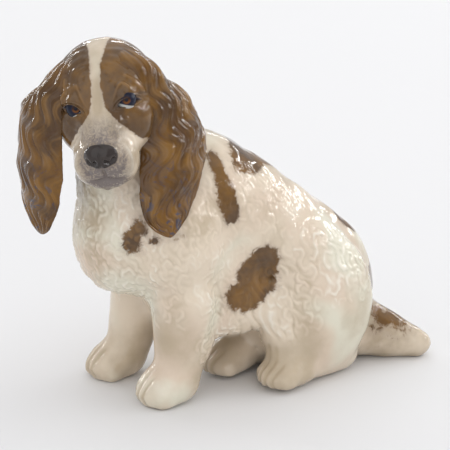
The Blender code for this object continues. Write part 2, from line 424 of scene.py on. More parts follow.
def rounded(path, times=3):  # corner cutting
    for _ in range(times):
        cut = [path[0]]
        for (ax, ay), (bx, by) in zip(path[:-1], path[1:]):
            cut.append((ax * 0.75 + bx * 0.25, ay * 0.75 + by * 0.25))
            cut.append((ax * 0.25 + bx * 0.75, ay * 0.25 + by * 0.75))
        path = cut + [path[-1]]
    return path


def pathDistance(x, y, path):  # distance to a rounded path, and how far along it, from 0 to 1
    path = np.array(rounded(path), float)
    best, place = np.full(len(x), 1e9), np.zeros(len(x))
    steps = np.linalg.norm(path[1:] - path[:-1], axis=1)
    total, done = steps.sum(), 0
    for start, end, step in zip(path[:-1], path[1:], steps):
        ax, ay = (end - start) / step
        t = np.clip((x - start[0]) * ax + (y - start[1]) * ay, 0, step)
        gap = np.hypot(x - start[0] - t * ax, y - start[1] - t * ay)
        closer = gap < best
        best = np.where(closer, gap, best)
        place = np.where(closer, (done + t) / total, place)
        done += step
    return best, place


def fold(x, y, path, height, width):  # a ridge or groove that fades at both ends
    gap, place = pathDistance(x, y, path)
    return height * bell(gap, width) * smooth(0, 0.18, place) * (1 - smooth(0.82, 1, place))


eyes = {
    "left": {"place": (12.8, 8.8), "tilt": -16, "half": (4.1, 1.65), "look": 0.3},
    "right": {"place": (-11.8, 9.6), "tilt": 20, "half": (4.0, 1.6), "look": 0.06},
    "radius": 4.7,
    "proud": -0.15,
    "sink": 2.6,
}
nose = {
    "down": 30.2,
    "half": (6.9, 4.7),
    "square": 2.4,
    "rise": 1.1,
    "nostril": ((2.1, 32.7), (3.7, 33.7), (5.5, 31.5)),
}
mouth = {  # on each side, as distances from the middle and down the face
    "lips": ((0, 39.7), (3, 40.3), (6, 40.5), (9.2, 39.6)),
    "chin": ((0, 41.6), (4, 42.2), (8, 41.4)),
    "edge": ((0, 41.4), (5, 41), (9, 38.6), (11.6, 34.5), (12.4, 29)),
    "groove": ((8.0, 25.5), (9.4, 29), (9.4, 33), (8, 36), (4.5, 38)),
    "flews": (  # height, then a path
        (0.7, (8.4, 24.5), (10.6, 28), (11.9, 32), (11.4, 36), (8.6, 38.8)),
        (0.3, (7.6, 25), (9.7, 30), (9.9, 34.4), (7.2, 37.6)),
        (-0.35, (12.6, 26), (14, 31), (13.4, 35)),
        (0.35, (9.5, 20), (12.2, 24), (14.8, 29)),
        (0.3, (6.2, 17), (7.2, 21), (7.6, 25)),
    ),
    "grooveHeight": -0.6,
}
creases = (  # round the brows and under the eyes: height, then a path across and down
    (0.75, (5.2, 12), (6.8, 7), (8.6, 2.2), (10.4, 0), (12.6, 1.2), (14.6, 4.4)),
    (0.75, (10, -3.6), (13.6, -2), (16.8, 1), (19, 5.6)),
    (0.75, (-2.6, 9.9), (-5, 9.8), (-6.4, 6), (-8, 1), (-10, -2)),
    (0.75, (-13.5, -6), (-14.6, -1), (-13.4, 1.2), (-16.4, 4), (-16.2, 8)),
    (0.3, (7.6, 15.5), (9.6, 16.2), (12, 14.2)),
    (0.3, (-9, 17.4), (-12, 17.6), (-15, 13)),
)


def eyeShape(across, down, eye):  # below 1 inside the almond
    x, y = across - eye["place"][0], down - eye["place"][1]
    t = math.radians(eye["tilt"])
    x, y = x * math.cos(t) + y * math.sin(t), y * math.cos(t) - x * math.sin(t)
    y = y + 0.35 * (1 - (x / eye["half"][0]) ** 2)
    return np.sqrt((x / eye["half"][0]) ** 2 + (y / eye["half"][1]) ** 2), y


def nosePad(across, down):  # below 1 inside the rounded square of the nose
    x, y = across / nose["half"][0], (down - nose["down"]) / nose["half"][1]
    power = nose["square"]
    return (np.abs(x) ** power + np.abs(y) ** power) ** (1 / power)


def faceRelief(local, facing):
    across, down, out = faceMap(local)
    side = np.abs(across)
    height = np.zeros(len(local))
    front = smooth(0.05, 0.35, facing) * smooth(2, 8, out)

    for name in ("left", "right"):
        shape, y = eyeShape(across, down, eyes[name])
        height -= eyes["sink"] * (1 - smooth(0.86, 1.04, shape))
        height -= 0.9 * bell(shape - 0.9, 1.3)  # the socket
        lid = bell(shape - 1.17, 0.15)
        height += lid * np.where(y < 0, 0.85, 0.3)
        height += 0.35 * bell(shape - 1.75, 0.2) * (y < 0)
        height -= 0.3 * bell(shape - 1.48, 0.13)
    for rise, *ridge in creases:
        height += fold(across, down, ridge, rise, 0.9)
        inner = [(x * 0.93, y + 1.5) for x, y in ridge]
        height -= fold(across, down, inner, rise * 0.45, 0.9)
    furrow = bell(across, 2.2) * smooth(-6, 4, down) * (1 - smooth(9, 16, down))
    height -= 0.8 * furrow

    pad = nosePad(across, down)
    height += nose["rise"] * (1 - smooth(0.88, 1.06, pad))
    height -= 0.5 * bell(pad - 1.14, 0.1)
    hole, _ = pathDistance(side, down, nose["nostril"])
    height -= 1.7 * bell(hole, 0.85)
    height -= 0.5 * bell(across, 0.5) * smooth(28.5, 30, down) * (1 - smooth(34, 35, down))
    height -= 0.9 * bell(across, 0.65) * smooth(34, 35, down) * (1 - smooth(38.6, 39.6, down))

    gap, place = pathDistance(side, down, mouth["lips"])
    height -= bell(gap, 0.8) * (1 - smooth(0.45, 1, place))
    gap, place = pathDistance(side, down, mouth["chin"])
    height += 0.7 * bell(gap, 0.9) * (1 - smooth(0.6, 1, place))
    for lift, *path in mouth["flews"] + ((mouth["grooveHeight"], *mouth["groove"]),):
        gap, place = pathDistance(side, down, path)
        height += lift * bell(gap, 0.75) * smooth(0, 0.25, place) * (1 - smooth(0.75, 1, place))
    return height * front


def crownRelief(local):  # strands that run from the parting over to the ears
    across, down, out = faceMap(local)
    side = np.abs(across)
    top = smooth(-2, 8, out) * (1 - smooth(-4, 3, down))
    flow = np.hypot(side - 3, (down + 3) * 1.25)  # arcs round the temple
    wander = ripple(local, 7, 3) * 0.8
    arcs = np.sin((flow + wander) * 2 * math.pi / 3.6)
    return 0.13 * arcs * top * smooth(3, 6, side)


def gapAside(points, y, z):  # from a line across the dog
    return np.linalg.norm((points - (0, y, z)) * (0, 1, 1), axis=1)


def curlField(points):  # where the coat is curly, and where the haunch's larger curls are
    x, y, z = points.T
    wide = np.abs(x - chest.x)
    ruff = smooth(-30, -46, y) * smooth(36, 50, z) * (1 - smooth(106, 118, z))
    shoulder = bell(gapAside(points, chest.y + 9, 76), 26) * smooth(20, 28, wide) * 0.4
    ruff *= 1 - 0.55 * smooth(-54, -44, y) * smooth(18, 26, wide)
    haunch = smooth(20, 30, wide) * (1 - smooth(24, 32, gapAside(points, rump.y - 4, 44)))
    low = smooth(rump.y - 8, rump.y - 18, y) * smooth(22, 34, z) * 0.7
    haunch *= np.maximum(smooth(38, 50, z), low)
    loops = bell(gapAside(points, 8, 90), 16) * smooth(12, 18, wide) * 0.35
    feather = smooth(chest.y + 10, chest.y + 18, y) * (1 - smooth(-10, -4, y)) * smooth(16, 26, z)
    feather *= (1 - smooth(50, 62, z)) * smooth(14, 18, wide) * 0.8
    return np.clip(ruff + shoulder + haunch + loops + feather, 0, 1), haunch


curlStyle = {
    "tries": 9000,
    "seed": 11,
    "cell": 5,  # for looking up neighbours, wider than any spacing
    "fall": (0, 0.25, -1),
    "spacing": 3.2,
    "radius": (1.5, 2.7),
    "haunchRadius": (2.0, 3.6),
    "height": (0.3, 0.58),
    "ridge": 0.78,
}


def curlRelief(points, normals, weights, haunch, height):
    chance = random.Random(curlStyle["seed"])
    fall = np.array(curlStyle["fall"])
    tree = KDTree(len(points))
    for i, p in enumerate(points):
        tree.insert(p, i)
    tree.balance()
    keen = np.flatnonzero(weights > 0.08)
    kept, cells = [], {}
    for _ in range(curlStyle["tries"]):
        i = int(keen[chance.randrange(len(keen))])
        if weights[i] < chance.random():
            continue
        p = points[i]
        gap = curlStyle["spacing"] * (1.3 if haunch[i] > 0.4 else 1)
        cell = tuple((p // curlStyle["cell"]).astype(int))
        near = [q for step in product((-1, 0, 1), repeat=3)
                for q in cells.get(tuple(c + s for c, s in zip(cell, step)), ())]
        if any(np.linalg.norm(p - q) < gap for q in near):
            continue
        cells.setdefault(cell, []).append(p)
        kept.append(i)
    for i in kept:
        p, n = points[i], normals[i]
        low, high = curlStyle["haunchRadius" if haunch[i] > 0.4 else "radius"]
        radius = chance.uniform(low, high)
        lift = chance.uniform(*curlStyle["height"]) * (0.35 + 0.65 * weights[i])
        turn = chance.uniform(-1.1, 1.1)
        hand = chance.choice((-1, 1))
        sweep = chance.uniform(2.4, 4.3)
        stretch = chance.uniform(0.9, 1.45)
        found = tree.find_range(p, radius * 2 + 1.2)
        near = np.array([f[1] for f in found])
        offset = points[near] - p
        down = fall - n * (fall @ n)
        down /= np.linalg.norm(down)
        side = np.cross(n, down) * hand
        a, b = offset @ down / stretch, offset @ side
        a += 0.35 * np.sin(b * 1.7 + i)
        depth = np.abs(offset @ n)
        r = np.hypot(a, b)
        angle = (np.arctan2(b, a) - turn) % (2 * math.pi)
        spiral = radius * (1.08 - 0.3 * angle / (2 * math.pi))
        gate = smooth(0, 0.5, angle) * (1 - smooth(sweep - 0.6, sweep, angle))
        shape = bell(r - spiral, curlStyle["ridge"]) * gate
        shape += 0.35 * bell(r, radius * 0.9) - 0.3 * bell(r - radius * 0.55, 0.5) * gate
        shape -= 0.4 * bell(r - spiral - 1.4, 0.7) * gate
        blend = (1 - smooth(radius + 0.9, radius + 1.9, r)) * (1 - smooth(1.5, 3, depth))
        cover = 0.8 * blend * np.clip(gate + bell(r, radius * 0.7), 0, 1)
        height[near] = height[near] * (1 - cover) + lift * shape * blend
    return len(kept)


def lockField(points):  # long wavy locks on the flank and along the belly
    x, y, z = points.T
    flank = bell(gapAside(points, -1, 50), 17) * smooth(18, 24, np.abs(x - chest.x))
    fringe = smooth(-22, -16, y) * (1 - smooth(14, 20, y)) * smooth(8, 14, np.abs(x))
    fringe *= smooth(22, 28, z) * (1 - smooth(38, 46, z))
    throat = smooth(-30, -44, y) * smooth(100, 108, z)
    return flank, fringe, throat


def lockRelief(points):
    flank, fringe, throat = lockField(points)
    x, y, z = points.T
    wave = y * 0.94 + z * 0.34 + 1.3 * np.sin(z / 2.6 + y / 5) + ripple(points, 9, 5) * 1.2
    ridges = np.abs(np.sin(wave * math.pi / 4.4)) ** 0.7 - 0.55
    fine = np.sin(wave * 2 * math.pi / 1.9)
    locks = (0.75 * ridges + 0.08 * fine) * np.clip(flank * 0.9 + fringe, 0, 1)
    swing = x * 0.6 - y * 0.5 + 1.2 * np.sin(z / 3)
    locks += 0.3 * np.sin(swing * 2 * math.pi / 4.2) * throat
    return locks


def pawRelief(points):
    height = np.zeros(len(points))
    for name in ("left_fore", "right_fore", "left_hind", "right_hind"):
        paw, along = pawPlace(name)
        across = np.array((-along.y, along.x, 0))
        offset = points - np.array(paw)
        u, v, w = offset @ across, offset @ np.array(along), offset[:, 2]
        near = smooth(7, 12, v) * (1 - smooth(20, 24, v)) * (1 - smooth(14, 18, np.abs(u)))
        near *= 1 - smooth(10, 13, w)
        depth = paws["gapDepth"][name.split("_")[1]]
        for gap in paws["toeGaps"]:
            height -= depth * bell(u - gap * (1 - 0.02 * v), 1.0) * near
        for toe in paws["claws"]:  # hardly marked
            claw = bell(u - toe, 1) * bell(v - 15 + abs(toe) * 0.5, 1.6) * bell(w + 4.5, 1.6)
            height += 0.35 * claw * near
    return height


def softRelief(points, normals):  # fingers in wet clay
    height = 0.42 * ripple(points * (1, 1, 0.7), 13, 1)
    height += 0.16 * ripple(points * (1, 1, 0.8), 5.5, 2)
    spine = bell(points[:, 0] - chest.x - 2, 5) * smooth(-20, 0, points[:, 1])
    return height - 0.5 * spine * smooth(0.2, 0.7, normals[:, 2])


def sculptDog(sculpt):
    mesh = sculpt.data
    points, normals = readPoints(mesh), readNormals(mesh)
    local = toHead(points)
    onHead = smooth(34, 26, np.linalg.norm(local * (1, 0.62, 0.95) + (0, 6, 2), axis=1))
    curls, haunch = curlField(points)
    curls = curls * (1 - onHead)
    height = lockRelief(points) * (1 - onHead)
    sway = points @ np.array((0.35, 0.25, 1.0))
    sway += 3.2 * ripple(points, 6.5, 8) + 1.2 * ripple(points, 3, 9)
    height += 0.13 * np.sin(sway * 2 * math.pi / 4.6) * smooth(0.1, 0.6, curls)
    count = curlRelief(points, normals, curls, haunch, height)
    print(count, "curls are tooled")
    height += pawRelief(points)
    height += softRelief(points, normals) * (1 - 0.75 * onHead)
    feature = faceRelief(local, normals @ faceWay) + crownRelief(local)
    height += feature * onHead
    height *= smooth(0.2, 2.5, points[:, 2])  # the bottom stays flat
    moved = points + normals * height[:, None]
    moved[:, 2] = np.maximum(moved[:, 2], 0)
    writePoints(mesh, moved)
    return points, height, onHead


base, relief, onHead = sculptDog(dog)
print("relief from", round(relief.min(), 1), "to", round(relief.max(), 1), "mm")


# painting: fields in mm, above nought inside the colour, or shares from 0 to 1

blaze = {  # half its width, at distances down the face
    "down": (-22, -14, -9, -2, 5, 9.6, 12, 14.3, 16.7, 19, 22, 25),
    "half": (5, 3, 2.2, 1.8, 2.3, 3, 4.2, 6.1, 8.2, 10.6, 13.5, 17),
}
spots = [  # centre and radii
    ((25.4, -56.5, 86), (3, 4, 4)), ((24, -59, 81), (3.4, 4, 4.4)),
    ((23, -59, 77.5), (3.2, 5, 3.4)), ((29.2, -51, 81.2), (1.4, 1.4, 1.4)),
    ((32.8, -42.7, 81.1), (1.3, 1.3, 1.3)), ((33, -38.5, 82), (1.2, 1.2, 1.2)),
    ((6, 2, 106), (17, 13, 9)), ((-4, 12, 101), (12, 9, 9)),
    ((3, 57, 68), (9, 9, 8)), ((16, 69, 42), (8, 7, 6)),
    ((27, 0, 54), (14, 11, 12)), ((28, 4, 61), (14, 8, 9)),
    ((27, -5, 48), (14, 11, 8)), ((27, 6, 52), (14, 7, 7)),
    ((-34, 4, 62), (9, 15, 13)), ((-34, -34, 84), (8, 9, 11)), ((-30, 50, 52), (9, 9, 12)),
]
streaks = [((15, -17, 110), (21, -16, 102), 3.6), ((23, -15, 98), (27, -12, 87), 4.6)]


def spotField(points):
    field = np.full(len(points), -20.0)
    for centre, radii in spots:
        gap = np.linalg.norm((points - centre) / radii, axis=1)
        field = np.maximum(field, (1 - gap) * min(radii[0], radii[2]))
    for start, end, radius in streaks:
        start, end = np.array(start, float), np.array(end, float)
        t = np.clip((points - start) @ (end - start) / ((end - start) @ (end - start)), 0, 1)
        gap = np.linalg.norm(points - start - t[:, None] * (end - start), axis=1)
        field = np.maximum(field, radius - gap)
    return field


def paintDog(sculpt, points, onHead, relief):
    x, y, z = points.T
    local = toHead(points)
    across, down, out = faceMap(local)
    side = np.abs(across)
    mask = side - np.interp(down, blaze["down"], blaze["half"])
    mask = np.minimum(mask, np.where(local[:, 1] > 4, local[:, 2] + 10, 24 - down))
    brown = np.where(onHead > 0.5, mask * 2, spotField(points))
    tailWay = points - (chest.x + 12, rump.y + 38, 20)
    brown = np.maximum(brown, (1 - np.linalg.norm(tailWay / (13, 13, 8), axis=1)) * 2.4)

    ink, greyAndShade, washAndShade = np.zeros(len(points)), np.zeros(len(points)), np.zeros(len(points))
    front = smooth(4, 8, out) * onHead
    for name in ("left", "right"):
        shape, under = eyeShape(across, down, eyes[name])
        ink += bell(shape - 1.04, 0.13) * smooth(0.6, -0.8, under) * front
        ink += 0.35 * bell(shape - 1.0, 0.08) * front
    pad = nosePad(across, down)
    snout = (1 - smooth(0.94, 1.06, pad)) * front
    gap, place = pathDistance(side, down, mouth["lips"])
    greyAndShade += 0.9 * bell(gap, 0.8) * front * (1 - 0.8 * smooth(0.5, 1, place))
    greyAndShade += 0.2 * bell(gap, 3.2) * front
    gap, place = pathDistance(side, down, mouth["edge"])
    greyAndShade += 0.26 * bell(gap, 1.7) * (1 - 0.6 * place) * front
    gap, place = pathDistance(side, down, mouth["groove"])
    greyAndShade += 0.4 * bell(gap, 0.8) * smooth(0, 0.3, place) * front
    greyAndShade += 0.45 * bell(side - 1, 3) * smooth(18, 25, down) * front
    greyAndShade += 0.4 * bell(pad - 1.35, 0.3) * smooth(29, 33, down) * front
    greyAndShade += 0.75 * smooth(9, 21, down) * front * (1 - smooth(6, 13, side))
    # a beige-grey wash over the head; what is added down the front of the muzzle is painted shade
    washAndShade += (0.4 + 0.35 * smooth(10, 20, down) * front) * onHead
    # painted shade on the throat under the head, deeper on the dog's right side
    throat = smooth(-40, -56, y) * smooth(88, 100, z) * (1 - onHead)
    greyAndShade += 0.6 * throat * (0.35 + 0.65 * smooth(8, -8, x))
    # darker low at the back, round the tail root
    washAndShade += 0.35 * smooth(rump.y + 18, rump.y + 28, y) * (1 - smooth(26, 36, z))
    washAndShade += 0.85 * bell(np.linalg.norm((tailWay + (0, 1, -2)) / (19, 22, 14), axis=1), 1)
    # painted shade low down, darker towards the table
    washAndShade += 0.12 * (1 - smooth(4, 40, z))
    names = "brown", "ink", "greyAndShade", "washAndShade", "snout", "relief"
    for name, values in zip(names, (brown, ink, greyAndShade, washAndShade, snout, relief)):
        addLayer(sculpt.data, name, values)


paintDog(dog, base, onHead, relief)


# ears: a leaf made from a flattened ball, with wavy locks, that grows out of the skull

ears = {
    "left": {
        "drift": 13, "lean": -12, "rest": 19, "swing": 11, "length": 81, "width": 34, "seed": 2,
    },
    "right": {
        "drift": 5.5, "lean": 2, "rest": 0, "swing": 15.5, "length": 83, "width": 33, "seed": 5,
    },
    "thick": 5,
    "widest": 0.66,
    "yaw": 57,
    "faces": 45,
    "locks": 5.2,
    "lockHeight": 0.46,
}


def growEar(name, skin):
    style, side = ears[name], 1 if name == "left" else -1
    nothingSelected()
    bpy.ops.mesh.primitive_uv_sphere_add(segments=256, ring_count=210, radius=1)
    ear = bpy.context.object
    ear.name = name + "EarLocks"
    mesh = ear.data
    p = read(mesh.vertices, "co", 3)
    v = 1 - np.arccos(np.clip(-p[:, 2], -1, 1)) / math.pi
    ring = np.hypot(p[:, 0], p[:, 1]) + 1e-9
    u, face = p[:, 0] / ring * np.minimum(1, ring * 1e6), p[:, 1] / ring
    pole = ring < 1e-5
    u[pole], face[pole] = 0, 0

    widest = ears["widest"]
    wide = np.where(
        v < widest,
        (0.72 + 0.28 * np.sin(math.pi / 2 * v / widest)) * np.sqrt(np.clip(9 * v, 0.0, 1)),
        np.clip(1 - np.clip((v - widest) / (1 - widest), 0, 1) ** 1.9, 0, 1) ** 0.62,
    )
    width = style["width"] * wide
    thick = ears["thick"] * (0.55 + 0.45 * np.sin(math.pi * np.clip(v * 1.1, 0, 1)))
    thick *= np.clip(wide * 1.4, 0, 1)
    yaw = math.radians(ears["yaw"])
    left = np.array((math.cos(yaw), math.sin(yaw), 0)) * side
    back = np.array((-left[1], left[0], 0)) * side
    turn = math.radians(ears["faces"])
    spread = left * math.cos(turn) + back * math.sin(turn)
    outwards = left * math.sin(turn) - back * math.cos(turn)
    root = np.array(headPlace @ Vector((side * 13, 7, 17.5)))

    swing = style["swing"] * np.sin(math.pi / 2 * np.clip(v / 0.3, 0, 1)) - 5
    swing += style["rest"] * v ** 2
    belly = 5 * (1 - u * u) * np.sin(math.pi * v)
    middle = (style["drift"] + 4) * np.sin(math.pi / 2 * np.clip(v / 0.6, 0, 1)) - 2
    middle += style["lean"] * smooth(0.5, 1, v)
    flat = np.stack((u * 12, v * 60, np.full(len(v), style["seed"] * 9.0)), axis=1)
    edge = 1.1 * ripple(flat * (0, 1, 1), 5, 1) * np.abs(u) * smooth(0.15, 0.4, v)  # scallops
    points = root + outwards * (swing + belly)[:, None]
    points += spread * (u * width / 2 + middle + edge * np.sign(u))[:, None]
    points += outwards * (face * thick / 2)[:, None]
    points[:, 2] -= style["length"] * v

    # above the middle it lies on the skull like a thick skin
    hold = 1 - smooth(0.1, 0.32, v)
    for i in np.flatnonzero(hold > 0):
        spot, normal, _, _ = skin.find_nearest(Vector(points[i]))
        lift = 8.5 * smooth(0.0, 0.24, v[i]) * (0.5 + 0.5 * face[i]) * (1 - 0.8 * u[i] ** 2)
        target = np.array(spot) + np.array(normal) * (lift - 1.2)
        points[i] += (target - points[i]) * hold[i]
    writePoints(mesh, points)
    if side > 0:  # the mirrored leaf is inside out
        pick(ear)
        setMode("EDIT")
        bpy.ops.mesh.select_all(action="SELECT")
        bpy.ops.mesh.flip_normals()
        setMode("OBJECT")

    wave = u * ears["locks"] / 2 + 0.4 * np.sin(v * 29 + u * 2 + style["seed"]) * smooth(0, 0.2, v)
    wave += 0.45 * ripple(flat, 8, 3) + 0.12 * ripple(flat, 3.5, 7)
    lock = np.abs(np.sin(wave * math.pi)) ** 0.75
    fine = 0.5 + 0.5 * np.sin(wave * math.pi * 6 + 2 * ripple(flat, 4, 4))
    height = (ears["lockHeight"] * (lock - 0.6) * 1.35 + 0.16 * fine) * smooth(0.01, 0.12, v)
    height += 0.5 * ripple(flat, 4.6, 6)
    height *= np.where(face > 0, 1, 0.55) * (1 - smooth(0.93, 1, v))
    points = readPoints(mesh)
    points += readNormals(mesh) * height[:, None]
    writePoints(mesh, points)
    # painted shade along the ear's inner edge, where it turns in by the face
    shade = smooth(0.45, 0.95, u * side * -1) * smooth(0.1, 0.25, v) * (1 - smooth(0.6, 0.8, v))
    for word, values in (("relief", height), ("lockDown", v), ("shade", shade)):
        addLayer(mesh, word, values)
    return ear


smoothSkin = BVHTree.FromPolygons(
    [Vector(p) for p in base], [tuple(f.vertices) for f in dog.data.polygons]
)
earPieces = {name: growEar(name, smoothSkin) for name in ("left", "right")}
print("ears are grown on the skull")


# eyes: balls set into the sockets

def setEye(name):
    eye = eyes[name]
    across, down = eye["place"]
    across -= math.copysign(0.5, across)
    low = -down / math.sqrt(2)
    far = headTurn @ np.array((across, low, low)) + np.array(skull) + faceWay * 60
    hit, normal, _, _ = smoothSkin.ray_cast(Vector(far), Vector(-faceWay))
    outwards = (normal + Vector(faceWay) * 0.5).normalized()
    centre = hit + outwards * (eyes["proud"] - eyes["radius"])
    nothingSelected()
    bpy.ops.mesh.primitive_uv_sphere_add(segments=96, ring_count=64, radius=1)
    piece = bpy.context.object
    piece.name = name + "Eye"
    p = readPoints(piece.data) * mm
    look = headTurn @ np.array((eye["look"], -1, 0.66))
    look /= np.linalg.norm(look)
    side = np.cross(look, headTurn @ np.array((0, 0, 1)))
    side /= np.linalg.norm(side)
    above = np.cross(side, look)
    gaze = np.stack((p @ -side, p @ look, p @ above), axis=1)
    points = p * (1 + 0.012 * ripple(p * 3, 1.1, 2)[:, None]) * eyes["radius"] + np.array(centre)
    writePoints(piece.data, points)
    addLayer(piece.data, "gaze", gaze.ravel(), "FLOAT_VECTOR")
    return piece


eyePieces = [setEye(name) for name in ("left", "right")]
print("eyes are set")


# splitting: each CAD piece gets its share of the one surface, so that the joins don't show

pieceNames = {
    "torso": "torsoFur",
    "head": "headFace",
    "left_foreleg": "leftForeleg",
    "right_foreleg": "rightForeleg",
    "left_hind_leg": "leftHaunch",
    "right_hind_leg": "rightHaunch",
    "tail": "tailBrush",
}
seams = {"rounds": 12, "wallSides": 8}  # smoothing of the shares, and walls have more sides


def nearestNode(points, edges):
    gaps = []
    for node in pieceNames:
        source = bpy.data.objects[node].data
        tree = KDTree(len(source.polygons) + len(source.vertices))
        corners = readPoints(source)
        for i, p in enumerate(corners):
            tree.insert(p, i)
        for i, f in enumerate(source.polygons):
            tree.insert(f.center / mm, i)
        tree.balance()
        gaps.append([tree.find(p)[2] for p in points])
    gaps = np.array(gaps)
    counts = np.bincount(edges.ravel(), minlength=len(points))
    start, end = edges.T
    for _ in range(seams["rounds"]):
        total = np.stack([
            np.bincount(start, row[end], len(points)) + np.bincount(end, row[start], len(points))
            for row in gaps
        ])
        gaps = total / np.maximum(counts, 1)
    return gaps


def splitDog(sculpt):
    mesh = sculpt.data
    gaps = nearestNode(base, read(mesh.edges, "vertices", 2, int))
    addLayer(mesh, "seamless", readNormals(mesh).ravel(), "FLOAT_VECTOR")
    owner = [int(np.argmin(gaps[:, list(f.vertices)].sum(axis=1))) for f in mesh.polygons]
    addLayer(mesh, "owner", owner, "INT", "FACE")
    pieces = {}
    for i, node in enumerate(pieceNames):
        owner = read(sculpt.data.attributes["owner"].data, "value", 1, int)
        piece = sculpt
        if not (owner == i).all():
            editChosen(sculpt, "FACE", owner == i)
            bpy.ops.mesh.separate(type="SELECTED")
            setMode("OBJECT")
            piece = next(o for o in bpy.context.selected_objects if o != sculpt)
        pieces[node] = closePiece(piece, pieceNames[node])
    return pieces


def closePiece(piece, name):  # walls across the openings, seamless directions on the outside
    pick(piece)
    piece.name = piece.data.name = name
    setMode("EDIT")
    bpy.ops.mesh.select_mode(type="EDGE")
    bpy.ops.mesh.select_all(action="DESELECT")
    bpy.ops.mesh.select_non_manifold()
    bpy.ops.mesh.fill_holes(sides=0)
    setMode("OBJECT")
    sizes = read(piece.data.polygons, "loop_total", 1, int)
    editChosen(piece, "FACE", sizes > seams["wallSides"])
    bpy.ops.mesh.poke()
    setMode("OBJECT")
    mesh = piece.data
    mesh.polygons.foreach_set("use_smooth", np.ones(len(mesh.polygons), bool))
    sizes = read(mesh.polygons, "loop_total", 1, int)
    inner = np.repeat(read(mesh.polygons, "select", 1, bool), sizes)
    flat = np.repeat(read(mesh.polygons, "normal", 3), sizes, axis=0)
    corners = read(mesh.loops, "vertex_index", 1, int)
    normals = read(mesh.attributes["seamless"].data, "vector", 3)[corners]
    normals[inner] = flat[inner]
    mesh.normals_split_custom_set(normals.tolist())
    mesh.attributes.remove(mesh.attributes["seamless"])
    mesh.attributes.remove(mesh.attributes["owner"])
    return piece


dogPieces = splitDog(dog)
for node, piece in dogPieces.items():
    piece.data.calc_loop_triangles()
    print(piece.name, "has", len(piece.data.loop_triangles), "triangles")


# glazes

def newGroup(name, inputs, outputs):
    group = bpy.data.node_groups.new(name, "ShaderNodeTree")
    for label, kind, value in inputs:
        socket = group.interface.new_socket(label, in_out="INPUT", socket_type="NodeSocket" + kind)
        if value is not None:
            socket.default_value = value
    for label, kind in outputs:
        group.interface.new_socket(label, in_out="OUTPUT", socket_type="NodeSocket" + kind)
    return group


class Bench:  # short ways to lay out nodes
    def __init__(self, tree):
        self.tree = tree

    def add(self, kind, **settings):
        node = self.tree.nodes.new("ShaderNode" + kind)
        for key, value in settings.items():
            setattr(node, key, value)
        return node

    def link(self, source, target):
        if hasattr(source, "is_output"):
            self.tree.links.new(source, target)
        else:
            target.default_value = source

    def math(self, operation, a, b=0.0, clamp=False):
        node = self.add("Math", operation=operation, use_clamp=clamp)
        self.link(a, node.inputs[0])
        self.link(b, node.inputs[1])
        return node.outputs[0]

    def times(self, a, b, clamp=False):
        return self.math("MULTIPLY", a, b, clamp)

    def plus(self, a, b):
        return self.math("ADD", a, b)

    def noise(self, place, scale, detail=2.0, rough=0.5, warp=0.0):
        node = self.add("TexNoise")
        self.link(place, node.inputs["Vector"])
        settings = {"Scale": scale, "Detail": detail, "Roughness": rough, "Distortion": warp}
        for label, value in settings.items():
            node.inputs[label].default_value = value
        return node.outputs["Fac"]

    def step(self, value, low, high):
        node = self.add("MapRange", interpolation_type="SMOOTHSTEP")
        self.link(value, node.inputs["Value"])
        node.inputs["From Min"].default_value = low
        node.inputs["From Max"].default_value = high
        return node.outputs["Result"]

    def mix(self, share, a, b, blend="MIX"):
        node = self.add("Mix", data_type="RGBA", blend_type=blend)
        self.link(share, node.inputs[0])
        self.link(a, node.inputs[6])
        self.link(b, node.inputs[7])
        return node.outputs[2]

    def layer(self, name, output="Fac"):
        return self.add("Attribute", attribute_name=name).outputs[output]


def rgb(red, green, blue):
    return red, green, blue, 1


def makePooling():  # glaze lies thick and darker in hollows, thin and pale on ridges
    group = newGroup(
        "glazePooling",
        [("Colour", "Color", None), ("Pool", "Color", None), ("Ridge", "Color", None),
         ("Relief", "Float", 0.0), ("Strength", "Float", 1.0), ("Place", "Vector", None)],
        [("Colour", "Color"), ("Height", "Float"), ("Gloss", "Float")],
    )
    bench = Bench(group)
    source = group.nodes.new("NodeGroupInput").outputs
    target = group.nodes.new("NodeGroupOutput").inputs
    wobble = bench.math("SUBTRACT", bench.noise(source["Place"], 260, 3), 0.5)
    wobble = bench.times(wobble, 0.3)
    relief = bench.plus(source["Relief"], wobble)
    low = bench.times(bench.step(relief, 0.25, -0.55), source["Strength"])
    high = bench.times(bench.step(relief, 0.25, 0.85), source["Strength"])
    colour = bench.mix(low, source["Colour"], source["Pool"])
    bench.link(bench.mix(high, colour, source["Ridge"]), target["Colour"])
    wave = bench.noise(source["Place"], 170, 1.5, 0.4)
    fine = bench.noise(source["Place"], 620, 1.0, 0.4)
    bench.link(bench.plus(wave, bench.times(fine, 0.18)), target["Height"])
    gloss = bench.times(bench.noise(source["Place"], 90, 3), 0.09)
    bench.link(bench.plus(gloss, 0.015), target["Gloss"])
    return group


def makeChestnut():  # brown painted under the glaze in short streaks, golden where it is thin
    group = newGroup(
        "chestnutPaint",
        [("Place", "Vector", None), ("Relief", "Float", 0.0)],
        [("Colour", "Color")],
    )
    bench = Bench(group)
    source = group.nodes.new("NodeGroupInput").outputs
    target = group.nodes.new("NodeGroupOutput").inputs
    cloud = bench.step(bench.noise(source["Place"], 55, 4, 0.6, 0.4), 0.36, 0.64)
    streak = bench.step(bench.noise(source["Place"], 210, 4, 0.6, 1.2), 0.38, 0.66)
    brown = bench.mix(cloud, rgb(0.066, 0.029, 0.006), rgb(0.175, 0.078, 0.007))
    brown = bench.mix(bench.times(streak, 0.35), brown, rgb(0.105, 0.058, 0.022))
    ridge = bench.step(source["Relief"], 0.15, 0.6)
    brown = bench.mix(bench.times(ridge, 0.4), brown, rgb(0.25, 0.12, 0.022))
    bench.link(brown, target["Colour"])
    return group


